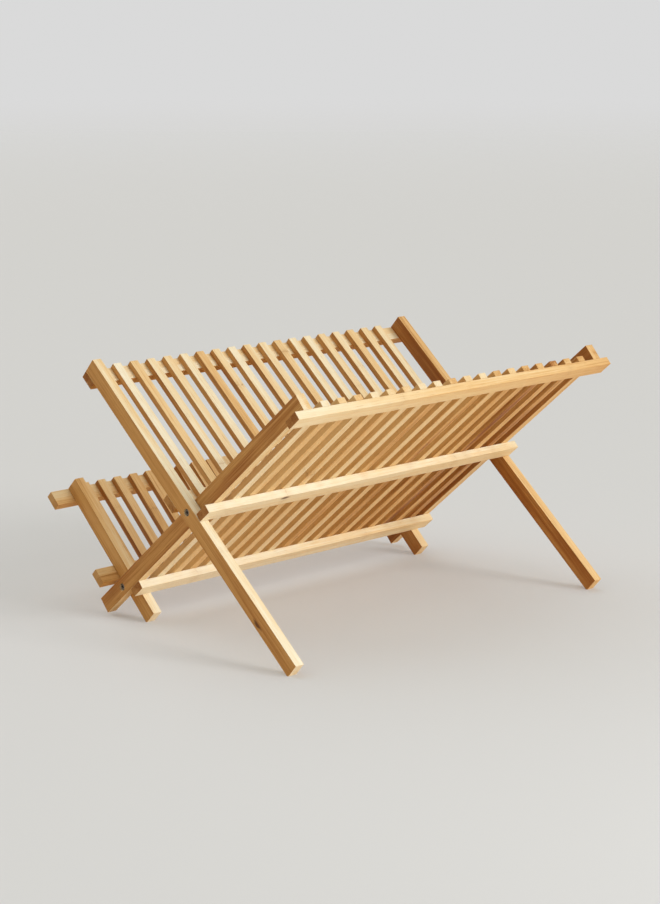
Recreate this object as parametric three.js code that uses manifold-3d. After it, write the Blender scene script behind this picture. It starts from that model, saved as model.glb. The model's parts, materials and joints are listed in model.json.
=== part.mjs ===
// Two-tier folding dish rack made of bamboo.
//
// Three slatted panels cross each other like scissors. The front panel runs from the back of the
// worktop up to the front, the back panel from the front feet up to the back, and they cross at
// the upper pivot. The short lower panel crosses the front panel at the lower pivot. Cross rails
// under each panel lean on the neighbouring rails and stop the rack from opening too far.
//
// Millimetres and degrees. +Z is up, X runs along the cross rails and the front is -Y. The origin
// lies on the worktop, in the middle of the rack's outline.

import * as THREE from 'three';
import { mergeVertices } from 'three/addons/utils/BufferGeometryUtils.js';
import Module from 'manifold-3d';

// ---------------------------------------------------------------- driving dimensions

// Stock sizes
const RACK_WIDTH = 420;
const RAIL_THICKNESS = 10;
const RAIL_DEPTH = 16;
const SLAT_WIDTH = 9.4;
const SLAT_THICKNESS = 5.8;
const CROSS_WIDTH = 16;
const CROSS_THICKNESS = 7.8;
const SLATS_PER_PANEL = 18;

// Angles from the worktop when the rack stands open
const FRONT_LEAN = 40.75;
const BACK_LEAN = 40.85;
const LOWER_LEAN = 44.0;

// Rail lengths, measured along each rail from its pivot
const FRONT_RAIL_UP = 179.5;
const PIVOT_SPACING = 140.4;
const FRONT_RAIL_DOWN = 36;
const BACK_RAIL_UP = 179.8;
const BACK_RAIL_DOWN = 180.9;

// Space beside the outermost slat of each panel
const FRONT_SLAT_CLEARANCE = 2;
const BACK_SLAT_MARGIN = 19.6;
const LOWER_SLAT_MARGIN = 2.7;

// Clearances
const LAYER_GAP = 0.5;
const GLUE_GAP = 0.3;
const STOP_GAP = 0.3;
const BACK_CROSS_CLEARANCE = 1.8;
const LOWER_CROSS_CLEARANCE = 3.3;
const FOLD_CLEARANCE = 0.3;
const PIVOT_CLEARANCE = 0.3;

// Edges, and how far the lower panel's slats are let into its cross rails
const RAIL_EDGE = 0.8;
const CROSS_EDGE = 0.7;
const SLAT_TOP_EDGE = 1.6;
const SLAT_BOTTOM_EDGE = 0.5;
const FOOT_FLAT = 2;
const LET_IN = 0.2;

// Pivot hardware
const BOLT_SHANK_RADIUS = 2;
const BOLT_HEAD_RADIUS = 3.2;
const BOLT_HEAD_HEIGHT = 2.6;
const BOLT_HEAD_RECESS = 1;
const BOLT_HEAD_CHAMFER = 0.4;
const HEX_SOCKET_RADIUS = 1.5;
const HEX_SOCKET_DEPTH = 1.4;
const SLEEVE_WALL = 0.9;
const SLEEVE_FLANGE_RADIUS = 4.6;
const SLEEVE_FLANGE_THICKNESS = 1.3;
const SLEEVE_END_WALL = 0.9;

// ---------------------------------------------------------------- derived sizes

const HALF_DEPTH = RAIL_DEPTH / 2;
const frontLean = THREE.MathUtils.degToRad(FRONT_LEAN);
const backLean = THREE.MathUtils.degToRad(BACK_LEAN);
const lowerLean = THREE.MathUtils.degToRad(LOWER_LEAN);

// The rails lie in three layers on each side: back panel outside, front panel, lower panel inside.
const LAYER_PITCH = RAIL_THICKNESS + LAYER_GAP;
const BACK_RAIL_OUTSIDE = RACK_WIDTH / 2;
const FRONT_RAIL_OUTSIDE = BACK_RAIL_OUTSIDE - LAYER_PITCH;
const LOWER_RAIL_OUTSIDE = FRONT_RAIL_OUTSIDE - LAYER_PITCH;
const LOWER_RAIL_INSIDE = LOWER_RAIL_OUTSIDE - RAIL_THICKNESS;

// Half the width over each panel's slats. The front slats clear the lower rails when folded.
const FRONT_SLAT_REACH = LOWER_RAIL_INSIDE - FRONT_SLAT_CLEARANCE;
const BACK_SLAT_REACH = BACK_RAIL_OUTSIDE - RAIL_THICKNESS - BACK_SLAT_MARGIN;
const LOWER_SLAT_REACH = LOWER_RAIL_INSIDE - LOWER_SLAT_MARGIN;

// Depth from a panel's middle plane to the underside of its cross rails
const CROSS_BOTTOM = HALF_DEPTH + GLUE_GAP + CROSS_THICKNESS;

// Distance from a pivot at which a cross rail under one panel meets the other panel's rail
function stopDistance(leanSum, clearance) {
  return (HALF_DEPTH + CROSS_BOTTOM * Math.cos(leanSum)) / Math.sin(leanSum) + clearance;
}
const FRONT_MIDDLE_CROSS = stopDistance(frontLean + backLean, STOP_GAP);
const FRONT_BOTTOM_CROSS = stopDistance(frontLean + lowerLean, STOP_GAP) - PIVOT_SPACING;
const BACK_BOTTOM_CROSS = stopDistance(frontLean + backLean, BACK_CROSS_CLEARANCE);
const LOWER_BOTTOM_CROSS = stopDistance(frontLean + lowerLean, LOWER_CROSS_CLEARANCE);

// The lower panel is as long as lets its end swing past the back panel's bottom cross rail
const FOLD_RADIUS = PIVOT_SPACING * Math.sin(frontLean + backLean) - CROSS_BOTTOM - FOLD_CLEARANCE;
const LOWER_RAIL_UP = Math.sqrt(FOLD_RADIUS ** 2 - CROSS_BOTTOM ** 2);

// Height of a rail's pivot over its foot, whose lowest corner is cut to a flat of FOOT_FLAT
function footDrop(lean) {
  return HALF_DEPTH * Math.cos(lean) - FOOT_FLAT * Math.sin(lean) * Math.cos(lean);
}
const UPPER_PIVOT_HEIGHT = BACK_RAIL_DOWN * Math.sin(backLean) + footDrop(backLean);
const LOWER_PIVOT_HEIGHT = UPPER_PIVOT_HEIGHT - PIVOT_SPACING * Math.sin(frontLean);
const LOWER_PIVOT_SETBACK = PIVOT_SPACING * Math.cos(frontLean);
const LOWER_RAIL_DOWN = (LOWER_PIVOT_HEIGHT - footDrop(lowerLean)) / Math.sin(lowerLean);

// Pivot holes
const SHANK_HOLE_RADIUS = BOLT_SHANK_RADIUS + PIVOT_CLEARANCE;
const SLEEVE_RADIUS = SHANK_HOLE_RADIUS + SLEEVE_WALL;
const SLEEVE_HOLE_RADIUS = SLEEVE_RADIUS + PIVOT_CLEARANCE;
const COUNTERBORE_RADIUS = BOLT_HEAD_RADIUS + PIVOT_CLEARANCE;
const COUNTERBORE_DEPTH = BOLT_HEAD_RECESS + BOLT_HEAD_HEIGHT + PIVOT_CLEARANCE;
const ROUND_SEGMENTS = 24;
const SOCKET_SEGMENTS = 6;
const CUT_OVERRUN = 1;

// ---------------------------------------------------------------- materials

function bamboo(color) {
  return new THREE.MeshStandardMaterial({ color, roughness: 0.55, metalness: 0 });
}
const RAIL_BAMBOO = bamboo(0xdcb06c);
const CROSS_BAMBOO = bamboo(0xe6c284);
const SLAT_BAMBOO = [bamboo(0xe9c98e), bamboo(0xe3bb78), bamboo(0xecd09a)];
const STEEL = new THREE.MeshStandardMaterial({ color: 0xa9a9a6, roughness: 0.35, metalness: 1 });

// ---------------------------------------------------------------- solids

const wasm = await Module();
wasm.setup();

function toManifold(geometry) {
  const bare = geometry.clone();
  bare.deleteAttribute('normal');
  bare.deleteAttribute('uv');
  const merged = mergeVertices(bare, 1e-4);
  const corners = [];
  for (let i = 0; i < merged.index.count; i += 3) {
    const [a, b, c] = [0, 1, 2].map((k) => merged.index.getX(i + k));
    if (a !== b && b !== c && c !== a) {
      corners.push(a, b, c);
    }
  }
  return new wasm.Manifold(new wasm.Mesh({
    numProp: 3,
    vertProperties: new Float32Array(merged.attributes.position.array),
    triVerts: new Uint32Array(corners),
  }));
}

function toGeometry(solid) {
  const mesh = solid.getMesh();
  const geometry = new THREE.BufferGeometry();
  geometry.setAttribute('position', new THREE.BufferAttribute(mesh.vertProperties, 3));
  geometry.setIndex(new THREE.BufferAttribute(mesh.triVerts, 1));
  geometry.computeVertexNormals();
  return geometry;
}

// A panel's own frame: X across the rack, Y up along the rails from the panel's pivot, and Z out of
// the panel's upper side. Outlines are drawn flat and then laid along one of these axes.
const ALONG_X = new THREE.Matrix4().makeBasis(
  new THREE.Vector3(0, 1, 0), new THREE.Vector3(0, 0, 1), new THREE.Vector3(1, 0, 0));
const ALONG_Y = new THREE.Matrix4().makeBasis(
  new THREE.Vector3(-1, 0, 0), new THREE.Vector3(0, 0, 1), new THREE.Vector3(0, 1, 0));

// Bar of the given outline, between two stations along X, with its long edges eased
function barAlongX(outline, from, to, edge) {
  const geometry = new THREE.ExtrudeGeometry(outline, {
    depth: to - from - 2 * edge,
    bevelEnabled: true,
    bevelThickness: edge,
    bevelSize: edge,
    bevelOffset: -edge,
    bevelSegments: 1,
  });
  geometry.translate(0, 0, from + edge);
  return geometry.applyMatrix4(ALONG_X);
}

// Disc or prism round an axis along X through a point of the panel's middle plane
function roundAlongX(radius, from, to, along, segments = ROUND_SEGMENTS) {
  const geometry = new THREE.CylinderGeometry(radius, radius, to - from, segments);
  geometry.rotateZ(-Math.PI / 2);
  geometry.translate((from + to) / 2, along, 0);
  return geometry;
}

// Side outline of a rail. Where it has a foot, the lowest corner is cut level with the worktop.
function railOutline(up, down, footLean) {
  const outline = new THREE.Shape();
  outline.moveTo(up, -HALF_DEPTH);
  outline.lineTo(up, HALF_DEPTH);
  outline.lineTo(-down, HALF_DEPTH);
  if (footLean === undefined) {
    outline.lineTo(-down, -HALF_DEPTH);
  } else {
    outline.lineTo(-down, -HALF_DEPTH + FOOT_FLAT * Math.sin(footLean));
    outline.lineTo(-down + FOOT_FLAT * Math.cos(footLean), -HALF_DEPTH);
  }
  return outline;
}

// Rail on one side of the rack. side is -1 or +1 in the panel's own frame, and outside is the
// distance of its outer face from the middle. Holes go through it; head holes are counterbored.
function rail({ outline, outside, side, sleeveHoles = [], headHoles = [] }) {
  const inner = side * (outside - RAIL_THICKNESS);
  const outer = side * outside;
  const from = Math.min(inner, outer);
  const to = Math.max(inner, outer);
  let solid = toManifold(barAlongX(outline, from, to, RAIL_EDGE));
  const drill = (radius, start, end, along) => {
    solid = solid.subtract(toManifold(roundAlongX(radius, start, end, along)));
  };
  for (const along of sleeveHoles) {
    drill(SLEEVE_HOLE_RADIUS, from - CUT_OVERRUN, to + CUT_OVERRUN, along);
  }
  for (const along of headHoles) {
    const floor = outer - side * COUNTERBORE_DEPTH;
    const mouth = outer + side * CUT_OVERRUN;
    drill(SHANK_HOLE_RADIUS, from - CUT_OVERRUN, to + CUT_OVERRUN, along);
    drill(COUNTERBORE_RADIUS, Math.min(floor, mouth), Math.max(floor, mouth), along);
  }
  return toGeometry(solid);
}

// Cross rail under a panel, with its lower edge at the given distance along the rails
function crossRail(lowerEdge, halfLength) {
  const top = -HALF_DEPTH - GLUE_GAP;
  const outline = new THREE.Shape();
  outline.moveTo(lowerEdge, top);
  outline.lineTo(lowerEdge, top - CROSS_THICKNESS);
  outline.lineTo(lowerEdge + CROSS_WIDTH, top - CROSS_THICKNESS);
  outline.lineTo(lowerEdge + CROSS_WIDTH, top);
  return barAlongX(outline, -halfLength, halfLength, CROSS_EDGE);
}

// Slat section, flat underneath and rounded over on top. sink lets it into the cross rails.
function slatOutline(sink) {
  const half = SLAT_WIDTH / 2;
  const bottom = -HALF_DEPTH - sink;
  const top = -HALF_DEPTH + SLAT_THICKNESS;
  const outline = new THREE.Shape();
  outline.moveTo(-half + SLAT_BOTTOM_EDGE, bottom);
  outline.lineTo(half - SLAT_BOTTOM_EDGE, bottom);
  outline.lineTo(half, bottom + SLAT_BOTTOM_EDGE);
  outline.absarc(half - SLAT_TOP_EDGE, top - SLAT_TOP_EDGE, SLAT_TOP_EDGE, 0, Math.PI / 2, false);
  outline.absarc(-half + SLAT_TOP_EDGE, top - SLAT_TOP_EDGE, SLAT_TOP_EDGE, Math.PI / 2, Math.PI, false);
  outline.lineTo(-half, bottom + SLAT_BOTTOM_EDGE);
  return outline;
}

const SLAT_CURVE_SEGMENTS = 3;
function slat(x, from, to, sink = 0) {
  const geometry = new THREE.ExtrudeGeometry(slatOutline(sink), {
    depth: to - from,
    bevelEnabled: false,
    curveSegments: SLAT_CURVE_SEGMENTS,
  });
  geometry.applyMatrix4(ALONG_Y);
  geometry.translate(x, from, 0);
  return geometry;
}

// Middles of the slats, evenly spread over twice the reach
function slatPlaces(reach) {
  const pitch = (2 * reach - SLAT_WIDTH) / (SLATS_PER_PANEL - 1);
  return Array.from({ length: SLATS_PER_PANEL }, (_, i) => -reach + SLAT_WIDTH / 2 + i * pitch);
}

// Profile turned round the X axis. Stations run along X, away from the middle of the rack on the
// given side, as [distance from the middle, radius].
function turned(profile, side) {
  const points = profile.map(([station, radius]) => new THREE.Vector2(radius, station));
  const geometry = new THREE.LatheGeometry(points, ROUND_SEGMENTS);
  geometry.rotateZ(-Math.PI / 2);
  if (side < 0) {
    geometry.rotateY(Math.PI);
  }
  return geometry;
}

// Pivot bolt with a hex socket. Its head lies in the counterbore of the rail whose outer face is
// at outside, and its shank ends in the sleeve nut that fills the next rail inwards.
function pivotBolt(outside, side) {
  const headTop = outside - BOLT_HEAD_RECESS;
  const headBottom = headTop - BOLT_HEAD_HEIGHT;
  const tip = sleeveInside(outside) + SLEEVE_END_WALL + PIVOT_CLEARANCE;
  const body = turned([
    [tip, 0],
    [tip, BOLT_SHANK_RADIUS],
    [headBottom, BOLT_SHANK_RADIUS],
    [headBottom, BOLT_HEAD_RADIUS],
    [headTop - BOLT_HEAD_CHAMFER, BOLT_HEAD_RADIUS],
    [headTop, BOLT_HEAD_RADIUS - BOLT_HEAD_CHAMFER],
    [headTop, 0],
  ], side);
  const socketFloor = side * (headTop - HEX_SOCKET_DEPTH);
  const socketMouth = side * (headTop + CUT_OVERRUN);
  const socket = roundAlongX(HEX_SOCKET_RADIUS, Math.min(socketFloor, socketMouth),
    Math.max(socketFloor, socketMouth), 0, SOCKET_SEGMENTS);
  return toGeometry(toManifold(body).subtract(toManifold(socket)));
}

// Inner end of the sleeve nut's flange, for a bolt whose head is in the rail at outside
function sleeveInside(outside) {
  const innerFace = outside - LAYER_PITCH - RAIL_THICKNESS;
  return innerFace - PIVOT_CLEARANCE - SLEEVE_FLANGE_THICKNESS;
}

// Sleeve nut: a blind tube with a flange against the inner face of the rail that it fills
function sleeveNut(outside, side) {
  const end = sleeveInside(outside);
  const flangeFace = end + SLEEVE_FLANGE_THICKNESS;
  const mouth = outside - LAYER_PITCH;
  return turned([
    [end, 0],
    [end, SLEEVE_FLANGE_RADIUS],
    [flangeFace, SLEEVE_FLANGE_RADIUS],
    [flangeFace, SLEEVE_RADIUS],
    [mouth, SLEEVE_RADIUS],
    [mouth, SHANK_HOLE_RADIUS],
    [end + SLEEVE_END_WALL, SHANK_HOLE_RADIUS],
    [end + SLEEVE_END_WALL, 0],
  ], side);
}

// ---------------------------------------------------------------- panels

// A panel leans back by its angle. The front panel is turned to face the other way, so that its
// own X points to the rack's left.
function panel(lean, setback, height, facing) {
  const group = new THREE.Group();
  group.rotation.set(lean, 0, facing, 'ZXY');
  group.position.set(0, setback, height);
  return group;
}
const FACING_BACK = 0;
const FACING_FRONT = Math.PI;
const frontPanel = panel(frontLean, 0, UPPER_PIVOT_HEIGHT, FACING_FRONT);
const backPanel = panel(backLean, 0, UPPER_PIVOT_HEIGHT, FACING_BACK);
const lowerPanel = panel(lowerLean, LOWER_PIVOT_SETBACK, LOWER_PIVOT_HEIGHT, FACING_BACK);

function add(group, name, geometry, material, along = 0) {
  const mesh = new THREE.Mesh(geometry, material);
  mesh.name = name;
  mesh.position.y = along;
  group.add(mesh);
}

// side in the panel's own frame, as the rack's left or right
function sideName(group, side) {
  const turnedRound = group === frontPanel;
  return (side < 0) === turnedRound ? 'right' : 'left';
}

function addRails(group, prefix, options) {
  for (const side of [-1, 1]) {
    add(group, `${prefix}_rail_${sideName(group, side)}`, rail({ ...options, side }), RAIL_BAMBOO);
  }
}

// Slats are numbered from the rack's left
function addSlats(group, prefix, reach, from, to) {
  const places = slatPlaces(reach);
  if (group === frontPanel) {
    places.reverse();
  }
  places.forEach((x, i) => {
    const number = String(i + 1).padStart(2, '0');
    add(group, `${prefix}_slat_${number}`, slat(x, from, to), SLAT_BAMBOO[i % SLAT_BAMBOO.length]);
  });
}

// Front panel
addRails(frontPanel, 'front', {
  outline: railOutline(FRONT_RAIL_UP, PIVOT_SPACING + FRONT_RAIL_DOWN),
  outside: FRONT_RAIL_OUTSIDE,
  sleeveHoles: [0],
  headHoles: [-PIVOT_SPACING],
});
addSlats(frontPanel, 'front', FRONT_SLAT_REACH, FRONT_BOTTOM_CROSS, FRONT_RAIL_UP);
const FRONT_TOP_CROSS = FRONT_RAIL_UP - CROSS_WIDTH;
add(frontPanel, 'front_cross_top', crossRail(FRONT_TOP_CROSS, BACK_RAIL_OUTSIDE), CROSS_BAMBOO);
add(frontPanel, 'front_cross_middle', crossRail(FRONT_MIDDLE_CROSS, BACK_RAIL_OUTSIDE), CROSS_BAMBOO);
add(frontPanel, 'front_cross_bottom', crossRail(FRONT_BOTTOM_CROSS, FRONT_RAIL_OUTSIDE), CROSS_BAMBOO);

// Back panel
addRails(backPanel, 'back', {
  outline: railOutline(BACK_RAIL_UP, BACK_RAIL_DOWN, backLean),
  outside: BACK_RAIL_OUTSIDE,
  headHoles: [0],
});
addSlats(backPanel, 'back', BACK_SLAT_REACH, BACK_BOTTOM_CROSS, BACK_RAIL_UP);
const BACK_TOP_CROSS = BACK_RAIL_UP - CROSS_WIDTH;
add(backPanel, 'back_cross_top', crossRail(BACK_TOP_CROSS, BACK_RAIL_OUTSIDE), CROSS_BAMBOO);
add(backPanel, 'back_cross_bottom', crossRail(BACK_BOTTOM_CROSS, BACK_RAIL_OUTSIDE), CROSS_BAMBOO);

// Lower panel. Its slats and two cross rails are glued into one grid.
addRails(lowerPanel, 'lower', {
  outline: railOutline(LOWER_RAIL_UP, LOWER_RAIL_DOWN, lowerLean),
  outside: LOWER_RAIL_OUTSIDE,
  sleeveHoles: [0],
});
let lowerGrid = toManifold(crossRail(LOWER_RAIL_UP - CROSS_WIDTH, BACK_RAIL_OUTSIDE))
  .add(toManifold(crossRail(LOWER_BOTTOM_CROSS, BACK_RAIL_OUTSIDE)));
for (const x of slatPlaces(LOWER_SLAT_REACH)) {
  const gridSlat = slat(x, LOWER_BOTTOM_CROSS, LOWER_RAIL_UP, GLUE_GAP + LET_IN);
  lowerGrid = lowerGrid.add(toManifold(gridSlat));
}
add(lowerPanel, 'lower_slat_grid', toGeometry(lowerGrid), SLAT_BAMBOO[1]);

// Pivot bolts and sleeve nuts turn with the front panel
const PIVOTS = [
  { prefix: 'upper_pivot', along: 0, outside: BACK_RAIL_OUTSIDE },
  { prefix: 'lower_pivot', along: -PIVOT_SPACING, outside: FRONT_RAIL_OUTSIDE },
];
for (const { prefix, along, outside } of PIVOTS) {
  for (const side of [-1, 1]) {
    const name = sideName(frontPanel, side);
    add(frontPanel, `${prefix}_bolt_${name}`, pivotBolt(outside, side), STEEL, along);
    add(frontPanel, `${prefix}_sleeve_${name}`, sleeveNut(outside, side), STEEL, along);
  }
}

// ---------------------------------------------------------------- rack

const rack = new THREE.Group();
rack.add(frontPanel, backPanel, lowerPanel);
rack.updateMatrixWorld(true);
const outlineBox = new THREE.Box3().setFromObject(rack, true);
rack.position.y = -(outlineBox.min.y + outlineBox.max.y) / 2;

export default rack;
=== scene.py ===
"""Looks of a folding two-tier dish rack of bamboo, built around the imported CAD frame.

Every rail, cross rail and slat is a bar of bamboo with rounded edges and its own tone, grain and
knuckles, and every pivot has a bolt and a sleeve nut. Lengths are metres in the row frame.
"""

import json
import math
import random
from types import SimpleNamespace

import bmesh
import bpy
import numpy as np
from mathutils import Matrix, Vector


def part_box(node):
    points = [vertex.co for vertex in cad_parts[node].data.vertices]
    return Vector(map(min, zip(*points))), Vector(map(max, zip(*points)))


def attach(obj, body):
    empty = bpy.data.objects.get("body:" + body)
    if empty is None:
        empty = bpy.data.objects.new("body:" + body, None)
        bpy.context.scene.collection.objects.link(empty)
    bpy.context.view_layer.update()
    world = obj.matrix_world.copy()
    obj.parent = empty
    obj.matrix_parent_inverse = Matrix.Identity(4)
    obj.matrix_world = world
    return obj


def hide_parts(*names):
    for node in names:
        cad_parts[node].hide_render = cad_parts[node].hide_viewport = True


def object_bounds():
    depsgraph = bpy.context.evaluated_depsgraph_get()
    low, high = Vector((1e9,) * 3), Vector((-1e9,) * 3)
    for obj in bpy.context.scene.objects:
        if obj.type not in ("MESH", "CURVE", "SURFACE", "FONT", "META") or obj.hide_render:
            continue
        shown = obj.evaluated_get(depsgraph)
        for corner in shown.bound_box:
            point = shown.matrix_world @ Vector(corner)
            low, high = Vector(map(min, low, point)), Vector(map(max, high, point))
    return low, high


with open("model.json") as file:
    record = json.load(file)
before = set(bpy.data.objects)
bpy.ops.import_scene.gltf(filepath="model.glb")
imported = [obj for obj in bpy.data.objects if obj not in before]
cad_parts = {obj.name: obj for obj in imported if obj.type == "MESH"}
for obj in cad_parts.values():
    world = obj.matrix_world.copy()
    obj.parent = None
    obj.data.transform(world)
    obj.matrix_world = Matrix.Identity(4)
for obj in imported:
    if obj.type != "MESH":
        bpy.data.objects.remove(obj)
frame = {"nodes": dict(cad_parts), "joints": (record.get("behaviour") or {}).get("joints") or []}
cad_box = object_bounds()

MM = 0.001
X = Vector((1, 0, 0))
Y = Vector((0, 1, 0))
Z = Vector((0, 0, 1))
# A face looks along a direction if its normal has more of it than this
FACING = 0.7

# ---------------------------------------------------------------- panels and their frames


def pivot(joint):
    """Where a joint's axis crosses the middle plane."""
    return Vector(next(j["pos_m"] for j in frame["joints"] if j["name"] == joint))


UPPER_PIVOT = pivot("back_panel_fold")
LOWER_PIVOT = pivot("lower_panel_fold")


def panel_frame(rail, origin):
    """A panel's own frame: Y up along its rails, Z out of its upper side, origin at its pivot."""
    faces = [f for f in frame["nodes"][rail].data.polygons if abs(f.normal.x) < FACING]
    normal = max(faces, key=lambda f: f.area).normal.copy()
    if normal.z < 0:
        normal.negate()
    along = Vector((0, normal.z, -normal.y))
    if along.z < 0:
        along.negate()
    axes = Matrix((along.cross(normal), along, normal)).transposed()
    return Matrix.Translation(origin) @ axes.to_4x4()


PANELS = {
    "front": panel_frame("front_rail_left", UPPER_PIVOT),
    "back": panel_frame("back_rail_left", UPPER_PIVOT),
    "lower": panel_frame("lower_rail_left", LOWER_PIVOT),
}


def points_in(panel, node):
    """A CAD node's vertices in a panel's frame."""
    to_panel = PANELS[panel].inverted()
    return np.array([to_panel @ v.co for v in frame["nodes"][node].data.vertices])


def corners(points):
    """Lowest and highest corner of some points."""
    return Vector(points.min(0)), Vector(points.max(0))


def extent(panel, node):
    """Lowest and highest corner of a CAD node in a panel's frame."""
    return corners(points_in(panel, node))


def nodes_named(start):
    """The CAD nodes whose names begin like this, in order."""
    return sorted(n for n in frame["nodes"] if n.startswith(start))


# ---------------------------------------------------------------- shader nodes

# Sockets of a mix node that mixes colours
MIX_A = 6
MIX_B = 7
MIX_RESULT = 2
# Levels between which most of a noise texture's values lie, and nearly all of them
MOST_NOISE = (0.3, 0.7)
NEARLY_ALL_NOISE = (0.2, 0.8)


class Graph:
    """The nodes of a material or of the world, with short names for the kinds that are used."""

    def __init__(self, owner):
        owner.use_nodes = True
        self.owner = owner
        self.tree = owner.node_tree

    def node(self, kind, inputs=(), **settings):
        made = self.tree.nodes.new(kind)
        for key, value in settings.items():
            setattr(made, key, value)
        self.feed(made, inputs)
        return made

    def feed(self, node, inputs):
        """Links a node's inputs to other sockets, or sets them to plain values."""
        for key, value in dict(inputs).items():
            if isinstance(value, bpy.types.NodeSocket):
                self.tree.links.new(value, node.inputs[key])
            else:
                node.inputs[key].default_value = value

    def surface(self, inputs):
        """Feeds the material's shader."""
        self.feed(self.tree.nodes["Principled BSDF"], inputs)

    def attribute(self, name):
        return self.node("ShaderNodeAttribute", attribute_name=name).outputs["Fac"]

    def vector_attribute(self, name):
        return self.node("ShaderNodeAttribute", attribute_name=name).outputs["Vector"]

    def maths(self, operation, a, b=0.0, c=0.0):
        return self.node("ShaderNodeMath", {0: a, 1: b, 2: c}, operation=operation).outputs[0]

    def vector(self, operation, a, b, c=(0, 0, 0)):
        return self.node("ShaderNodeVectorMath", {0: a, 1: b, 2: c}, operation=operation).outputs[0]

    def length(self, vector):
        made = self.node("ShaderNodeVectorMath", {0: vector}, operation="LENGTH")
        return made.outputs["Value"]

    def noise(self, vector, detail=2.0, roughness=0.5):
        inputs = {"Vector": vector, "Scale": 1.0, "Detail": detail, "Roughness": roughness}
        return self.node("ShaderNodeTexNoise", inputs).outputs["Fac"]

    def span(self, value, low, high, to_low=0.0, to_high=1.0, smooth=False):
        """A value between low and high, mapped to lie between to_low and to_high."""
        inputs = {0: value, 1: low, 2: high, 3: to_low, 4: to_high}
        kind = "SMOOTHSTEP" if smooth else "LINEAR"
        return self.node("ShaderNodeMapRange", inputs, interpolation_type=kind).outputs[0]

    def spread(self, value, reach, within=0.2):
        """A value that strays from 0.5 by up to within, mapped to lie between -reach and reach."""
        return self.span(value, 0.5 - within, 0.5 + within, -reach, reach)

    def ramp(self, value, stops):
        """The colour at a value between stops, each of which is a place and a colour."""
        made = self.node("ShaderNodeValToRGB", {0: value})
        elements = made.color_ramp.elements
        while len(elements) < len(stops):
            elements.new(0.5)
        for element, (place, colour) in zip(elements, stops):
            element.position = place
            element.color = (*colour, 1)
        return made.outputs[0]

    def mix(self, share, a, b, kind="MIX"):
        """A share of colour b over colour a."""
        opaque = [c if isinstance(c, bpy.types.NodeSocket) else (*c, 1) for c in (a, b)]
        inputs = {0: share, MIX_A: opaque[0], MIX_B: opaque[1]}
        made = self.node("ShaderNodeMix", inputs, data_type="RGBA", blend_type=kind)
        return made.outputs[MIX_RESULT]

    def darken(self, share, colour, shade):
        """A colour with a share of it multiplied by a shade."""
        return self.mix(share, colour, self.mix(1.0, colour, shade, "MULTIPLY"))

    def bump(self, height, strength, distance):
        inputs = {"Height": height, "Strength": strength, "Distance": distance}
        return self.node("ShaderNodeBump", inputs).outputs[0]


# ---------------------------------------------------------------- bamboo

# Bamboo's colour by its tone, which is 0 for amber and 1 for cream. The darkest parts are below 0
DARKEST_TONE = -0.12
BAMBOO_TONES = [
    (DARKEST_TONE, (0.24, 0.075, 0.012)),
    (0.0, (0.37, 0.14, 0.028)),
    (0.12, (0.60, 0.33, 0.11)),
    (0.24, (0.71, 0.44, 0.18)),
    (0.42, (0.79, 0.55, 0.27)),
    (0.66, (0.83, 0.65, 0.385)),
    (0.85, (0.86, 0.745, 0.52)),
    (1.0, (0.89, 0.82, 0.64)),
]
FIBRE_DARK = (0.62, 0.42, 0.22)
KNUCKLE_DARK = (0.42, 0.22, 0.08)
SCAR_DARK = (0.12, 0.04, 0.012)
END_DARK = (0.6, 0.52, 0.5)

# How many features of each kind a metre holds across the fibres and along them
DRIFT_GRAIN = (90, 6)
STREAK_GRAIN = (1100, 14)
BAND_GRAIN = (240, 5)
DASH_GRAIN = (2600, 55)
WOBBLE_GRAIN = (260, 40)
MOTTLE_GRAIN = (800, 260)
RAGGED_GRAIN = (900, 120)

# How far each of these moves the tone either way. Only the deeper faces, whose tone is partly
# painted shade, have bands, and they keep just a share of the others
DRIFT_TONE = 0.14
PLY_TONE = 0.14
STREAK_TONE = 0.2
BAND_TONE = 0.03
DEEP_VARIETY = 0.35

# Noise levels at which a dark fibre dash begins and is full
DASH_LEVELS = (0.6, 0.74)
DASH_STRENGTH = 0.55

# How far apart a piece's knuckles are, how much each wavers, the distances from it over which its
# thin dark line and the stained band on either side fade out, and the least share of them that is
# left where they are mottled
KNUCKLE_PERIOD = 0.23
KNUCKLE_WOBBLE = 2.2 * MM
LINE_FADE = (0.3 * MM, 1.5 * MM)
LINE_STRENGTH = 0.9
STAIN_FADE = (1 * MM, 9 * MM)
STAIN_STRENGTH = 0.38
LEAST_STAIN = 0.25

# How far a scar reaches across, along and into the fibres, and the shares of that where it fades
SCAR_REACH = (2.6 * MM, 8 * MM, 2.6 * MM)
SCAR_FADE = (0.35, 1)
SCAR_STRENGTH = 0.9
SCAR_RAGGEDNESS = 0.35

# What a piece's seed is multiplied by to shift its noise, and to choose the tones of its plies
PIECE_SHIFT = (13.1, 7.7, 29.3)
PLY_SHIFT = 17.3

BAMBOO_ROUGHNESS = (0.44, 0.58)
END_ROUGHNESS = 0.2
BAMBOO_SPECULAR = 0.25
STREAK_HEIGHT = 0.6
GRAIN_BUMP = 0.35
GRAIN_DEPTH = 0.12 * MM


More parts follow.
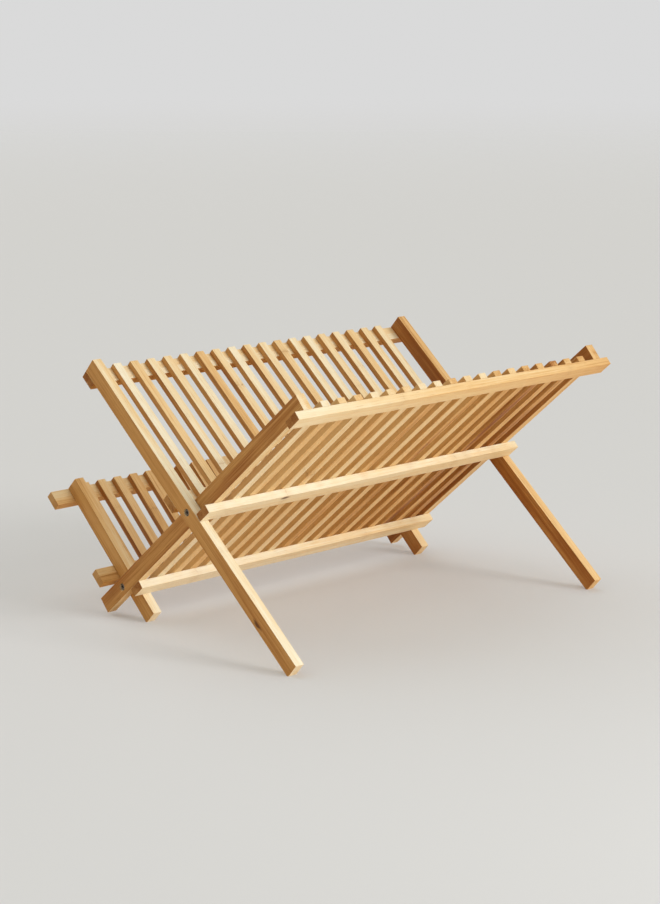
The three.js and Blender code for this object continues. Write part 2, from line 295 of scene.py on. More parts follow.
class Bamboo(Graph):
    """The nodes of bamboo. Each piece's mesh holds its grain coordinates, plies, cut ends, deeper
    faces, whose tone is partly painted shade, knuckles, scar and tone."""

    def __init__(self):
        super().__init__(bpy.data.materials.new("bamboo"))
        self.grain = self.vector_attribute("grain")
        piece = self.node("ShaderNodeSeparateXYZ", {0: self.vector_attribute("piece")})
        self.seed, self.deep_tone, self.knuckle_strength = piece.outputs
        seeds = self.node("ShaderNodeCombineXYZ", {0: self.seed, 1: self.seed, 2: self.seed})
        self.shift = self.vector("MULTIPLY", seeds.outputs[0], PIECE_SHIFT)
        self.streaks = self.fibres(STREAK_GRAIN, detail=3, roughness=0.6)

    def fibres(self, features, **settings):
        """Noise with so many features in a metre across and along the fibres."""
        across, along = features
        place = self.vector("MULTIPLY_ADD", self.grain, (across, along, across), self.shift)
        return self.noise(place, **settings)

    def ply_tone(self):
        """Each ply's own tone. Plies are numbered from 1, and a piece without plies has 0."""
        ply = self.maths("FLOOR", self.attribute("ply"))
        seed = self.maths("MULTIPLY_ADD", self.seed, PLY_SHIFT, ply)
        chance = self.node("ShaderNodeTexWhiteNoise", {"W": seed}, noise_dimensions="1D")
        tone = self.spread(chance.outputs["Value"], PLY_TONE, within=0.5)
        return self.maths("MULTIPLY", tone, self.maths("GREATER_THAN", ply, 0.5))

    def tone(self):
        """Tone drifts over a strip, each ply and face has its own, the deeper faces partly as
        painted shade, and fibres streak it.
        """
        tone = self.attribute("tone")
        deep = self.attribute("deep")
        drift = self.spread(self.fibres(DRIFT_GRAIN), DRIFT_TONE)
        streaks = self.spread(self.streaks, STREAK_TONE, within=0.25)
        varied = self.maths("ADD", self.maths("ADD", drift, self.ply_tone()), streaks)
        bands = self.spread(self.fibres(BAND_GRAIN, detail=1), BAND_TONE)
        # The deeper faces take the piece's deeper tone, which is partly painted shade
        deeper = self.maths("ADD", self.maths("SUBTRACT", self.deep_tone, tone), bands)
        own_tone = self.maths("MULTIPLY_ADD", deep, deeper, tone)
        variety = self.span(deep, 0, 1, 1, DEEP_VARIETY)
        return self.maths("MULTIPLY_ADD", varied, variety, own_tone)

    def dashes(self):
        """Dark dashes along the fibres."""
        noise = self.fibres(DASH_GRAIN, detail=1)
        return self.span(noise, *DASH_LEVELS, 0, DASH_STRENGTH, smooth=True)

    def knuckles(self):
        """Each knuckle's dark line, and its line and stain together at the piece's own strength."""
        wobble = self.spread(self.fibres(WOBBLE_GRAIN), KNUCKLE_WOBBLE, within=0.5)
        off = self.maths("ADD", self.attribute("knuckle"), wobble)
        off = self.maths("WRAP", off, -KNUCKLE_PERIOD / 2, KNUCKLE_PERIOD / 2)
        off = self.maths("ABSOLUTE", off)
        line = self.span(off, *LINE_FADE, LINE_STRENGTH, 0, smooth=True)
        stain = self.span(off, *STAIN_FADE, STAIN_STRENGTH, 0, smooth=True)
        mottle = self.span(self.fibres(MOTTLE_GRAIN, detail=1), *MOST_NOISE, LEAST_STAIN, 1)
        both = self.maths("MULTIPLY", self.maths("MAXIMUM", line, stain), mottle)
        return line, self.maths("MULTIPLY", both, self.knuckle_strength)

    def scar(self):
        """A ragged streak along the fibres round one place of some pieces."""
        from_scar = self.vector("SUBTRACT", self.grain, self.vector_attribute("scar"))
        distance = self.length(self.vector("DIVIDE", from_scar, SCAR_REACH))
        ragged = self.spread(self.fibres(RAGGED_GRAIN), SCAR_RAGGEDNESS, within=0.3)
        edge = self.maths("ADD", distance, ragged)
        return self.span(edge, *SCAR_FADE, SCAR_STRENGTH, 0, smooth=True)


def bamboo():
    """Oiled bamboo strips, whose cut ends drink the oil and stay darker; the cross rails' ends are
    darkened further as painted shade.
    """
    g = Bamboo()
    end = g.attribute("end_grain")
    dashes = g.dashes()
    line, knuckles = g.knuckles()
    range_of_tones = 1 - DARKEST_TONE
    tones = [((tone - DARKEST_TONE) / range_of_tones, colour) for tone, colour in BAMBOO_TONES]
    colour = g.ramp(g.span(g.tone(), DARKEST_TONE, 1), tones)
    colour = g.darken(dashes, colour, FIBRE_DARK)
    colour = g.mix(knuckles, colour, KNUCKLE_DARK)
    colour = g.mix(g.scar(), colour, SCAR_DARK)
    roughness = g.span(g.streaks, *NEARLY_ALL_NOISE, *BAMBOO_ROUGHNESS)
    height = g.maths("SUBTRACT", g.maths("MULTIPLY", g.streaks, STREAK_HEIGHT), dashes)
    height = g.maths("MULTIPLY_ADD", line, g.knuckle_strength, height)
    g.surface({
        "Base Color": g.darken(end, colour, END_DARK),
        "Roughness": g.maths("MULTIPLY_ADD", end, END_ROUGHNESS, roughness),
        "Specular IOR Level": BAMBOO_SPECULAR,
        "Normal": g.bump(height, GRAIN_BUMP, GRAIN_DEPTH),
    })
    return g.owner


# ---------------------------------------------------------------- steel

# Dark, brownish steel: partly the dull plating and partly a painted reflection of the warm wood
# round the heads
STEEL_TONES = [(0.3, (0.12, 0.085, 0.06)), (0.7, (0.30, 0.25, 0.20))]
STEEL_ROUGHNESS = (0.28, 0.5)
# Features that a metre holds along the pivots and across them
STEEL_MOTTLE = (900, 900, 900)
STEEL_TURNING = (9000, 700, 700)
TURNING_BUMP = 0.25
TURNING_DEPTH = 0.05 * MM


def steel():
    """Dull zinc-plated steel, mottled and lightly turned, with a painted reflection of warm wood in
    its colour.
    """
    g = Graph(bpy.data.materials.new("zinc_steel"))
    place = g.node("ShaderNodeTexCoord").outputs["Object"]
    mottle = g.noise(g.vector("MULTIPLY", place, STEEL_MOTTLE), detail=3, roughness=0.6)
    turning = g.noise(g.vector("MULTIPLY", place, STEEL_TURNING), detail=1)
    g.surface({
        "Base Color": g.ramp(mottle, STEEL_TONES),
        "Metallic": 1.0,
        "Roughness": g.span(mottle, *NEARLY_ALL_NOISE, *STEEL_ROUGHNESS),
        "Normal": g.bump(turning, TURNING_BUMP, TURNING_DEPTH),
    })
    return g.owner


BAMBOO = bamboo()
STEEL = steel()

# ---------------------------------------------------------------- meshes

CORNER_STEPS = 4
END_STEPS = 3
BAR_STEPS = 10
TURNED_SEGMENTS = 48
LEAST_RADIUS = 0.1 * MM
SHARP_ANGLE = math.radians(38)


def section(width, depth, kind, inset):
    """Outline of a bar as (x, z) points, with rounded corners, drawn in by inset."""
    points = []
    rounding = [
        (1, 1, kind.top_radius),
        (-1, 1, kind.top_radius),
        (-1, -1, kind.bottom_radius),
        (1, -1, kind.bottom_radius),
    ]
    for quarter, (side_x, side_z, radius) in enumerate(rounding):
        r = max(radius - inset, LEAST_RADIUS)
        centre = Vector((side_x * (width / 2 - inset - r), side_z * (depth / 2 - inset - r)))
        for step in range(CORNER_STEPS + 1):
            angle = math.pi / 2 * (quarter + step / CORNER_STEPS)
            points.append(centre + r * Vector((math.cos(angle), math.sin(angle))))
    return points


def quarter_turn(radius):
    """How far a rounded edge is from its two faces, at each step from one to the other."""
    for step in range(END_STEPS + 1):
        angle = math.pi / 2 * step / END_STEPS
        yield radius * (1 - math.sin(angle)), radius * (1 - math.cos(angle))


def stations(half, end_radius):
    """Places along a bar of this half length, with how far its outline is drawn in at each."""
    ends = [(half - short, inset) for short, inset in quarter_turn(end_radius)]
    middle = [(half * (2 * i / BAR_STEPS - 1), 0.0) for i in range(1, BAR_STEPS)]
    return [(-y, inset) for y, inset in reversed(ends)] + middle + ends


def join_rings(mesh, rings):
    """Faces between rings of vertices, and over the first and the last."""
    count = len(rings[0])
    for ring, following in zip(rings, rings[1:]):
        for i in range(count):
            j = (i + 1) % count
            mesh.faces.new((ring[i], ring[j], following[j], following[i]))
    mesh.faces.new(rings[0])
    mesh.faces.new(rings[-1])
    bmesh.ops.recalc_face_normals(mesh, faces=mesh.faces)


def bar_shape(size, kind, bow):
    """A closed bar along Y with rounded long edges and eased ends, bent a little across and up."""
    half = size.y / 2
    mesh = bmesh.new()
    rings = []
    for y, inset in stations(half, kind.end_radius):
        bend = 1 - (y / half) ** 2
        outline = section(size.x, size.z, kind, inset)
        places = [(p.x + bow[0] * bend, y, p.y + bow[1] * bend) for p in outline]
        rings.append([mesh.verts.new(place) for place in places])
    join_rings(mesh, rings)
    return mesh


def turned(profile, side, centre, segments=TURNED_SEGMENTS):
    """A solid turned about an axis along X, closed with flat ends. The profile's points are the
    distance from the middle plane, outwards on the given side of the rack, and the radius there."""
    mesh = bmesh.new()
    rings = []
    for out, radius in profile:
        ring = []
        for i in range(segments):
            angle = 2 * math.pi * i / segments
            y = centre.y + radius * math.cos(angle)
            z = centre.z + radius * math.sin(angle)
            ring.append(mesh.verts.new((side * out, y, z)))
        rings.append(ring)
    join_rings(mesh, rings)
    return mesh


def as_mesh(shape):
    """A bmesh as a mesh."""
    made = bpy.data.meshes.new("shape")
    shape.to_mesh(made)
    shape.free()
    return made


def cut(shape, place, cutters):
    """A bmesh, placed like this, less the cutters, which are bmeshes in the row frame."""
    body = bpy.data.objects.new("uncut", as_mesh(shape))
    body.matrix_world = place
    tools = [bpy.data.objects.new("cutter", as_mesh(cutter)) for cutter in cutters]
    for thing in (body, *tools):
        bpy.context.scene.collection.objects.link(thing)
    for tool in tools:
        boolean = body.modifiers.new("cut", "BOOLEAN")
        boolean.operation = "DIFFERENCE"
        boolean.solver = "EXACT"
        boolean.object = tool
    bpy.context.view_layer.update()
    evaluated = body.evaluated_get(bpy.context.evaluated_depsgraph_get())
    made = bmesh.new()
    made.from_mesh(bpy.data.meshes.new_from_object(evaluated))
    for thing in (body, *tools):
        bpy.data.objects.remove(thing)
    return made


def show(name, shape, place, panel, node, material):
    """Puts a piece in the scene, riding on its panel in place of its CAD node."""
    for face in shape.faces:
        face.smooth = True
    for edge in shape.edges:
        edge.smooth = edge.calc_face_angle(0.0) < SHARP_ANGLE
    piece = bpy.data.objects.new(name, as_mesh(shape))
    piece.data.materials.append(material)
    bpy.context.scene.collection.objects.link(piece)
    piece.matrix_world = place
    piece.modifiers.new("even_normals", "WEIGHTED_NORMAL").keep_sharp = True
    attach(piece, f"{panel}_panel")
    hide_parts(node)
    return piece


# ---------------------------------------------------------------- bamboo pieces

# Kinds of bar: their slot, whether they lie across the rails, the radii of their edges, the width
# of their plies, or 0 for a single strip, how dark their end grain is, the ways that their faces of
# the deeper tone look, and how far they may bend. The deeper tone is partly the strips' own darker
# colour and partly painted shade: on the sides of rails and slats, and on the lower edge and ends
# of cross rails, where shade falls
RAIL = SimpleNamespace(
    slot="bamboo_rail", across=False, top_radius=0.45 * MM, bottom_radius=0.45 * MM,
    end_radius=0.4 * MM, ply=5 * MM, end_grain=0.1, deep=(-X, X), bow=0.0)
CROSS = SimpleNamespace(
    # The cross rails' end grain is darker than the others' partly as painted shade on their ends
    slot="bamboo_cross", across=True, top_radius=0.4 * MM, bottom_radius=0.4 * MM,
    end_radius=0.4 * MM, ply=8 * MM, end_grain=0.6, deep=(X, -Y, Y), bow=0.0)
SLAT = SimpleNamespace(
    slot="bamboo_slat", across=False, top_radius=0.6 * MM, bottom_radius=0.4 * MM,
    end_radius=0.4 * MM, ply=0, end_grain=0.1, deep=(-X, X), bow=0.15 * MM)

# The ply that begins at a bar's middle, and what keeps its faces just inside the outermost plies
MIDDLE_PLY = 2
WITHIN_PLIES = 0.98
# A knuckle put at random: how far from a piece's middle it may be, and how strong at most
RANDOM_KNUCKLE_RANGE = 0.1
RANDOM_KNUCKLE_STRENGTH = 0.35
# Pieces have seeds from 0 to this
SEEDS = 10
# Pieces with a scar, and its place in the panel's frame. The others have theirs far away
SCARS = {
    "back_rail_left": Vector((-210, -126, -3.5)) * MM,
    "front_cross_middle": Vector((115, 23.6, -16.1)) * MM,
}
NO_SCAR = Vector((9, 9, 9))


def looking(mesh, directions):
    """1.0 for each face that looks along one of these directions, and 0.0 for the others."""
    chosen = [any(f.normal.dot(way) > FACING for way in directions) for f in mesh.polygons]
    return np.array(chosen, float)


def write_attribute(mesh, name, values, domain="POINT"):
    """Stores a number or vector for each vertex or face of a mesh."""
    kind, field = ("FLOAT", "value") if values.ndim == 1 else ("FLOAT_VECTOR", "vector")
    mesh.attributes.new(name, kind, domain).data.foreach_set(field, values.ravel())


def write_looks(mesh, kind, end_tones, knuckle_at, piece, scar):
    """Writes what the bamboo material reads from a piece's mesh. piece holds the piece's seed, its
    deeper tone, which is partly painted shade, and the strength of its knuckles."""
    points = np.array([v.co for v in mesh.vertices])
    across = points[:, 0]
    along = points[:, 1]
    plies = np.zeros(len(points))
    if kind.ply:
        plies = WITHIN_PLIES * across / kind.ply + MIDDLE_PLY
    write_attribute(mesh, "grain", points)
    write_attribute(mesh, "piece", np.tile(piece, (len(points), 1)))
    write_attribute(mesh, "scar", np.tile(scar, (len(points), 1)))
    write_attribute(mesh, "ply", plies)
    write_attribute(mesh, "tone", np.interp(along, (along.min(), along.max()), end_tones))
    write_attribute(mesh, "knuckle", along - knuckle_at)
    write_attribute(mesh, "end_grain", looking(mesh, (-Y, Y)) * kind.end_grain, "FACE")
    # Faces of the deeper tone, which is partly painted shade
    write_attribute(mesh, "deep", looking(mesh, kind.deep), "FACE")


def level_foot(shape, place):
    """Cuts a rail level with the worktop."""
    to_piece = place.inverted()
    ground = to_piece @ Vector((0, 0, cad_box[0].z))
    up = (to_piece.to_3x3() @ Z).normalized()
    parts = [*shape.verts, *shape.edges, *shape.faces]
    sliced = bmesh.ops.bisect_plane(
        shape, geom=parts, plane_co=ground, plane_no=up, clear_inner=True)
    rim = [e for e in sliced["geom_cut"] if isinstance(e, bmesh.types.BMEdge)]
    bmesh.ops.contextual_create(shape, geom=rim)
    bmesh.ops.recalc_face_normals(shape, faces=shape.faces)


def bar(name, kind, panel, low, high, node, tones, knuckle=None, cutters=None, foot=False):
    """One bar of bamboo between two corners in its panel's frame, along the rails or across them.

    tones are those at its low end in that frame, at its other end, and of its deeper faces, which
    is partly painted shade.
    knuckle is the place along it of its clearest knuckle and how strong that is.
    """
    size = high - low
    in_panel = Matrix.Translation((low + high) / 2)
    if kind.across:
        size = Vector((size.y, size.x, size.z))
        in_panel = in_panel @ Matrix.Rotation(-math.pi / 2, 4, "Z")
    place = PANELS[panel] @ in_panel
    chance = random.Random(name)
    bend = (chance.uniform(-kind.bow, kind.bow), chance.uniform(-kind.bow, kind.bow))
    shape = bar_shape(size, kind, bend)
    if cutters:
        shape = cut(shape, place, cutters)
    if foot:
        level_foot(shape, place)
    piece = show(f"{name}_bamboo", shape, place, panel, node, BAMBOO)
    if knuckle:
        knuckle_at, strength = knuckle
    else:
        knuckle_at = chance.uniform(-RANDOM_KNUCKLE_RANGE, RANDOM_KNUCKLE_RANGE)
        strength = chance.uniform(0, RANDOM_KNUCKLE_STRENGTH)
    seed = chance.uniform(0, SEEDS)
    scar = in_panel.inverted() @ SCARS[name] if name in SCARS else NO_SCAR
    *end_tones, deep_tone = tones
    write_looks(piece.data, kind, end_tones, knuckle_at, (seed, deep_tone, strength), scar)


# ---------------------------------------------------------------- pivot hardware

CLEARANCE = 0.3 * MM
MOUTH_CHAMFER = 0.3 * MM
SHANK_RADIUS = 2 * MM
TIP_CHAMFER = 0.4 * MM
HEAD_HEIGHT = 2.6 * MM
HEAD_EDGE = 1.0 * MM
HEX_RADIUS = 1.5 * MM
HEX_DEPTH = 1.6 * MM
SLEEVE_RADIUS = 3.2 * MM
FLANGE_THICKNESS = 1.3 * MM
FLANGE_EDGE = 0.35 * MM
BURR = 0.1 * MM
# How far a cutter goes on past the surface that it cuts
OVERRUN = 1 * MM
SIDES = {"left": -1, "right": 1}


def reach(node):
    """Nearest and farthest distance of a CAD node from the middle plane, and its half height."""
    low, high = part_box(node)
    near, far = sorted((abs(low[0]), abs(high[0])))
    return near, far, (high[2] - low[2]) / 2


def chamfered_hole(inner, outer, radius):
    """Profile of a hole through a rail, with a small chamfer at both mouths."""
    wide = radius + MOUTH_CHAMFER + OVERRUN
    return [
        (inner - OVERRUN, wide),
        (inner + MOUTH_CHAMFER, radius),
        (outer - MOUTH_CHAMFER, radius),
        (outer + OVERRUN, wide),
    ]


def head_holes(rail, bolt, side, centre):
    """Cutters for a bolt's counterbore in a rail's outer face, and for its shank."""
    inner, outer, _ = reach(rail)
    _, head_top, head_radius = reach(bolt)
    floor = head_top - HEAD_HEIGHT - CLEARANCE
    bore = head_radius + CLEARANCE
    flare = bore + MOUTH_CHAMFER + OVERRUN
    mouth = [(floor, bore), (outer - MOUTH_CHAMFER, bore), (outer + OVERRUN, flare)]
    through = SHANK_RADIUS + CLEARANCE
    shank = [*chamfered_hole(inner, outer, through)[:2], (floor + OVERRUN, through)]
    return [turned(mouth, side, centre), turned(shank, side, centre)]


def sleeve_hole(rail, side, centre):
    """Cutter for the hole that a sleeve nut fills."""
    inner, outer, _ = reach(rail)
    return turned(chamfered_hole(inner, outer, SLEEVE_RADIUS + CLEARANCE), side, centre)


def rounded(out, radius, edge, facing):
    """Profile of a rounded rim that ends at (out, radius) and faces outwards, 1, or inwards, -1."""
    points = [(out - facing * back, radius - inset) for back, inset in quarter_turn(edge)]
    return points[::facing]


def pivot_bolt(name, side, centre):
    """A socket-head bolt, from its tip to its head."""
    tip, top, head_radius = reach(name)
    under = top - HEAD_HEIGHT
    profile = [
        (tip, SHANK_RADIUS - TIP_CHAMFER),
        (tip + TIP_CHAMFER, SHANK_RADIUS),
        (under, SHANK_RADIUS),
        (under, head_radius - BURR),
        (under + BURR, head_radius),
        *rounded(top, head_radius, HEAD_EDGE, 1),
    ]
    flare = [
        (top - HEX_DEPTH, HEX_RADIUS),
        (top - BURR, HEX_RADIUS),
        (top + OVERRUN, HEX_RADIUS + OVERRUN),
    ]
    socket = turned(flare, side, centre, segments=6)
    shape = cut(turned(profile, side, centre), Matrix.Identity(4), [socket])
    show(f"{name}_steel", shape, Matrix.Identity(4), "front", name, STEEL)


def sleeve_nut(name, bolt, side, centre):
    """The flanged sleeve that a bolt screws into."""
    end, mouth, flange_radius = reach(name)
    face = end + FLANGE_THICKNESS
    profile = [
        *rounded(end, flange_radius, FLANGE_EDGE, -1),
        (face - BURR, flange_radius),
        (face, flange_radius - BURR),
        (face, SLEEVE_RADIUS),
        (mouth - BURR, SLEEVE_RADIUS),
        (mouth, SLEEVE_RADIUS - BURR),
    ]
    floor = reach(bolt)[0] - CLEARANCE
    bore = SHANK_RADIUS + CLEARANCE
    hole = turned([(floor, bore), (mouth + OVERRUN, bore)], side, centre)
    shape = cut(turned(profile, side, centre), Matrix.Identity(4), [hole])
    show(f"{name}_steel", shape, Matrix.Identity(4), "front", name, STEEL)


def pivot_hardware(level, centre):
    """The bolt and sleeve nut on both sides of one pivot axis."""
    for name, side in SIDES.items():
        bolt = f"{level}_pivot_bolt_{name}"
        pivot_bolt(bolt, side, centre)
        sleeve_nut(f"{level}_pivot_sleeve_{name}", bolt, side, centre)


# ---------------------------------------------------------------- the rack

# Tones run from 0, amber, to 1, cream, and a few go a little past either end

# Tone of each slat in tenths, from the rack's left
SLAT_TONES = {
    "front": "944855772662523031",
    "back": "948683686758867477",
    "lower": "454334743653263547",
}
# Tones of the sides of the first and of the last slat, spread evenly over those between. They are
# partly the strips' own colour and partly painted shade, and on the front panel they darken from
# the rack's left to its right as painted shade, standing in for light that fades across the rack
SLAT_SIDES = {"front": (0.39, 0.04), "back": (0.11, 0.11), "lower": (0.03, 0.03)}
# Tones of the left and the right rail: at the foot, at the top and on the sides. The back and
# lower rails' feet are paler partly as their own tone and partly as painted light, where the key
# light falls full on them, and the sides' tones are partly painted shade
RAIL_TONES = {
    "front": ((0.6, 0.65, 0.035), (0.5, 0.19, -0.05)),
    "back": ((1.0, 0.7, 0.12), (0.42, 0.26, 0.03)),
    "lower": ((0.98, 0.28, 0.14), (0.6, 0.3, 0.03)),
}
# Slats with a knuckle that stands out, with its place along each from the slat's middle
SLAT_KNUCKLES = {"front": {5: 0.02}, "back": {3: -0.05, 7: 0.036, 11: 0.068}, "lower": {4: 0.01}}
CLEAR_KNUCKLE = 0.8
# Tones of each cross rail, at the low and high X of its panel's frame and on its lower edge and
# ends, and the place and strength of its clearest knuckle. The front panel's X points to the
# rack's left. The lower edge and ends are darker partly as the strips' own colour and partly as
# painted shade, and the front cross rails grow paler towards the rack's left partly as their own
# tone and partly as painted light that fades across the rack
CROSS_LOOKS = {
    "front_cross_top": ((0.27, 0.97, 0.08), (0.08, 0.25)),
    "front_cross_middle": ((0.82, 1.02, 0.08), (0.113, 0.4)),
    "front_cross_bottom": ((0.72, 1.1, 0.08), (-0.1, 0.3)),
    "back_cross_top": ((0.75, 0.65, 0.05), (0.06, 0.3)),
    "back_cross_bottom": ((0.7, 0.6, 0.09), (-0.1, 0.3)),
    "lower_cross_top": ((0.5, 0.4, 0.24), (-0.05, 0.3)),
    "lower_cross_bottom": ((0.3, 0.4, 0.22), (0.08, 0.3)),
}
# How far the cross rails stay under the level that the other panel's rails reach when folded flat
GLUE_LINE = 0.1 * MM
# Points of the lower grid this far over the level where its cross rails meet its slats belong to
# the slats, and points this far under it to the cross rails
GRID_MARGIN = 0.6 * MM


def rails(panel, drilled, foot=False):
    """The two rails of a panel. drilled holds each pivot's level, its axis and what it seats."""
    for (name, side), tones in zip(SIDES.items(), RAIL_TONES[panel]):
        node = f"{panel}_rail_{name}"
        cutters = []
        for level, centre, seats in drilled:
            if seats == "head":
                cutters += head_holes(node, f"{level}_pivot_bolt_{name}", side, centre)
            else:
                cutters.append(sleeve_hole(node, side, centre))
        bar(node, RAIL, panel, *extent(panel, node), node, tones, cutters=cutters, foot=foot)


def underside(panel):
    """The level of a panel's underside, where its cross rails are glued on, in its frame."""
    return extent(panel, f"{panel}_rail_left")[0].z


def cross_rail(name, panel, low, high, node):
    """A cross rail, glued to the underside of its panel's slats."""
    tones, knuckle = CROSS_LOOKS[name]
    high.z = underside(panel) - GLUE_LINE
    bar(name, CROSS, panel, low, high, node, tones, knuckle=knuckle)


def slat(panel, number, low, high, node):
    """A slat, very slightly bent."""
    tone = int(SLAT_TONES[panel][number - 1]) / 10
    side = np.interp(number, (1, len(SLAT_TONES[panel])), SLAT_SIDES[panel])
    knuckle = None
    if number in SLAT_KNUCKLES[panel]:
        knuckle = (SLAT_KNUCKLES[panel][number], CLEAR_KNUCKLE)
    name = f"{panel}_slat_{number:02d}"
    bar(name, SLAT, panel, low, high, node, (tone, tone, side), knuckle=knuckle)


def slatted(panel):
    """A panel's cross rails and slats, each in place of its own CAD node."""
    for node in nodes_named(f"{panel}_cross_"):
        cross_rail(node, panel, *extent(panel, node), node)
    for number, node in enumerate(nodes_named(f"{panel}_slat_"), start=1):
        slat(panel, number, *extent(panel, node), node)


def lower_grid():
    """The lower panel's cross rails and slats, which are one solid in CAD. They are as wide as the
    front panel's."""
    grid = "lower_slat_grid"
    level = underside("lower")
    points = points_in("lower", grid)
    height = points[:, 2]
    start, end = corners(points[height < level - GRID_MARGIN])
    cross_low, cross_high = extent("front", "front_cross_top")
    width = cross_high.y - cross_low.y
    for place, y in {"top": end.y - width, "bottom": start.y}.items():
        low = Vector((start.x, y, start.z))
        high = Vector((end.x, y + width, level))
        cross_rail(f"lower_cross_{place}", "lower", low, high, grid)
    start, end = corners(points[height > level + GRID_MARGIN])
    slat_low, slat_high = extent("front", "front_slat_01")
    width = slat_high.x - slat_low.x
    count = len(SLAT_TONES["lower"])
    for number in range(1, count + 1):
        share = (number - 1) / (count - 1)
        x = start.x + share * (end.x - start.x - width)
        low = Vector((x, start.y, level))
        high = Vector((x + width, end.y, end.z))
        slat("lower", number, low, high, grid)


rails("front", [("upper", UPPER_PIVOT, "sleeve"), ("lower", LOWER_PIVOT, "head")])
rails("back", [("upper", UPPER_PIVOT, "head")], foot=True)
rails("lower", [("lower", LOWER_PIVOT, "sleeve")], foot=True)
slatted("front")
slatted("back")
lower_grid()
pivot_hardware("upper", UPPER_PIVOT)
pivot_hardware("lower", LOWER_PIVOT)

# ---------------------------------------------------------------- floor, light and camera

MIDDLE = (cad_box[0] + cad_box[1]) / 2
WHITE = (1, 1, 1, 1)
FLOOR_RADIUS = 30.0
FLOOR_SEGMENTS = 64
FLOOR_ROUGHNESS = 0.9
FLOOR_FADE = (3.0, 12.0)
FLOOR_SEEN = (0.50, 0.50, 0.50)
FLOOR_GLOW = 0.17
FLOOR_BOUNCE = (0.74, 0.57, 0.37)
BACKDROP = (0.70, 0.70, 0.70)
FILL = (1.0, 0.96, 0.81)
FILL_STRENGTH = 0.38

# Azimuths of lights are 0 in front of the rack and grow towards its left
KEY_STRENGTH = 1.42
KEY_ANGLE = math.radians(24)
KEY_AZIMUTH = math.radians(-22)
KEY_ELEVATION = math.radians(25)
OVERHEAD_STRENGTH = 1.42
OVERHEAD_ANGLE = math.radians(80)
OVERHEAD_AZIMUTH = math.radians(180)
OVERHEAD_ELEVATION = math.radians(60)
LAMP_POWER = 4.3
LAMP_SIZE = 0.6
LAMP_AZIMUTH = 0.0
LAMP_ELEVATION = math.radians(5)
LIGHT_DISTANCE = 1.3

# The camera's azimuth is 0 in front of the rack and grows towards its left too
CAMERA_AZIMUTH = math.radians(44.56)
CAMERA_ELEVATION = math.radians(11.61)
CAMERA_ROLL = math.radians(-0.1)
CAMERA_DISTANCE = 2.112
CAMERA_AIM = Vector((0.0028, 0.0033, 0.0202))
CAMERA_LENS = 86.45


def seen_directly(g):
    """1 for rays from the camera, reflected or let through, and 0 for the light's own bounces."""
    path = g.node("ShaderNodeLightPath").outputs
    either = g.maths("MAXIMUM", path["Is Camera Ray"], path["Is Glossy Ray"])
    return g.maths("MAXIMUM", either, path["Is Transmission Ray"])


def add_floor():
    """A wide pale floor that fades into the backdrop, but lights the rack as a wooden one would."""
    shape = bmesh.new()
    bmesh.ops.create_circle(shape, cap_ends=True, radius=FLOOR_RADIUS, segments=FLOOR_SEGMENTS)
    floor = bpy.data.objects.new("floor", as_mesh(shape))
    bpy.context.scene.collection.objects.link(floor)
    g = Graph(bpy.data.materials.new("floor"))
    seen = seen_directly(g)
    distance = g.length(g.node("ShaderNodeNewGeometry").outputs["Position"])
    g.surface({
        "Base Color": g.mix(seen, FLOOR_BOUNCE, FLOOR_SEEN),
        "Roughness": FLOOR_ROUGHNESS,
        "Specular IOR Level": 0.0,
        "Emission Color": WHITE,
        "Emission Strength": g.maths("MULTIPLY", seen, FLOOR_GLOW),
        "Alpha": g.span(distance, *FLOOR_FADE, 1, 0, smooth=True),
    })
    floor.data.materials.append(g.owner)


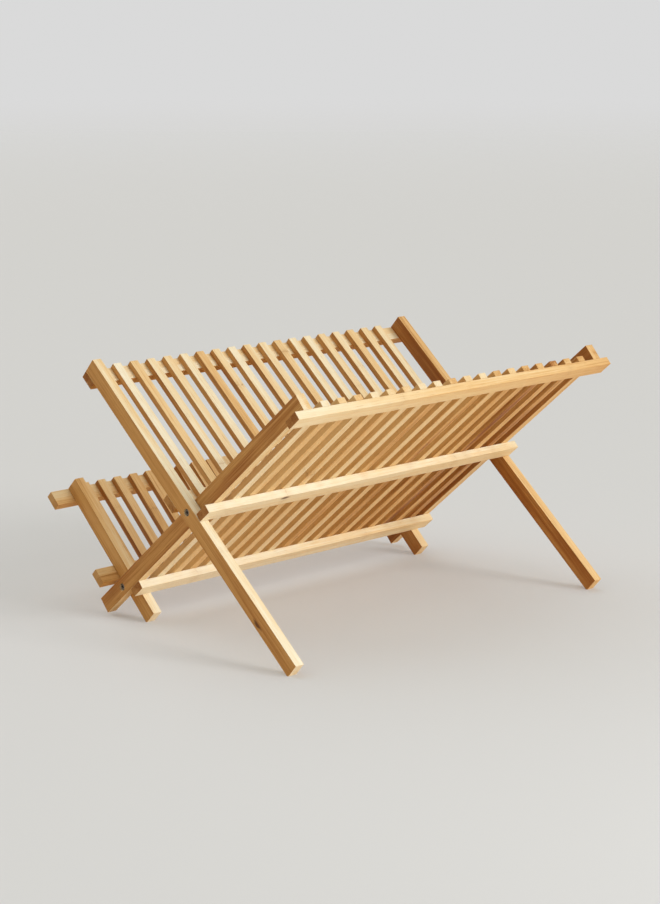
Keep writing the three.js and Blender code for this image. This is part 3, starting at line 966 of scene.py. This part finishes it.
def add_world():
    """Even fill light from all round, with a pale backdrop where the camera sees it."""
    g = Graph(bpy.data.worlds.new("studio"))
    bpy.context.scene.world = g.owner
    fill = g.tree.nodes["Background"]
    g.feed(fill, {"Color": (*FILL, 1), "Strength": FILL_STRENGTH})
    backdrop = g.node("ShaderNodeBackground", {"Color": (*BACKDROP, 1)})
    shaders = {0: seen_directly(g), 1: fill.outputs[0], 2: backdrop.outputs[0]}
    choice = g.node("ShaderNodeMixShader", shaders)
    g.feed(g.tree.nodes["World Output"], {"Surface": choice.outputs[0]})


def direction(azimuth, elevation):
    """A unit vector that points this far round from +Y towards +X, and this far up."""
    level = math.cos(elevation)
    return Vector((math.sin(azimuth) * level, math.cos(azimuth) * level, math.sin(elevation)))


def add_light(name, kind, azimuth, elevation, **settings):
    """A light that looks at the rack from this side of it."""
    data = bpy.data.lights.new(name, kind)
    for key, value in settings.items():
        setattr(data, key, value)
    light = bpy.data.objects.new(name, data)
    from_rack = -direction(azimuth, -elevation)
    light.location = MIDDLE + LIGHT_DISTANCE * from_rack
    light.rotation_mode = "QUATERNION"
    light.rotation_quaternion = from_rack.to_track_quat("Z", "Y")
    light.visible_camera = False
    bpy.context.scene.collection.objects.link(light)


def add_lights():
    """A soft sun from the front right, a wide one from above the back, and a lamp low in front."""
    add_light("key", "SUN", KEY_AZIMUTH, KEY_ELEVATION, energy=KEY_STRENGTH, angle=KEY_ANGLE)
    add_light("overhead", "SUN", OVERHEAD_AZIMUTH, OVERHEAD_ELEVATION,
              energy=OVERHEAD_STRENGTH, angle=OVERHEAD_ANGLE)
    add_light("lamp", "AREA", LAMP_AZIMUTH, LAMP_ELEVATION,
              energy=LAMP_POWER, shape="DISK", size=LAMP_SIZE)


def add_camera():
    """The camera, level but for its roll, which looks past a point near the middle of the rack."""
    forward = direction(CAMERA_AZIMUTH, -CAMERA_ELEVATION)
    level = Vector((math.cos(CAMERA_AZIMUTH), -math.sin(CAMERA_AZIMUTH), 0))
    right = Matrix.Rotation(CAMERA_ROLL, 3, forward) @ level
    axes = Matrix((right, right.cross(forward), -forward)).transposed()
    data = bpy.data.cameras.new("camera")
    data.lens = CAMERA_LENS
    camera = bpy.data.objects.new("camera", data)
    place = MIDDLE + CAMERA_AIM - forward * CAMERA_DISTANCE
    camera.matrix_world = Matrix.Translation(place) @ axes.to_4x4()
    bpy.context.scene.collection.objects.link(camera)
    bpy.context.scene.camera = camera


add_floor()
add_world()
add_lights()
add_camera()
bpy.context.scene.view_settings.view_transform = "Standard"
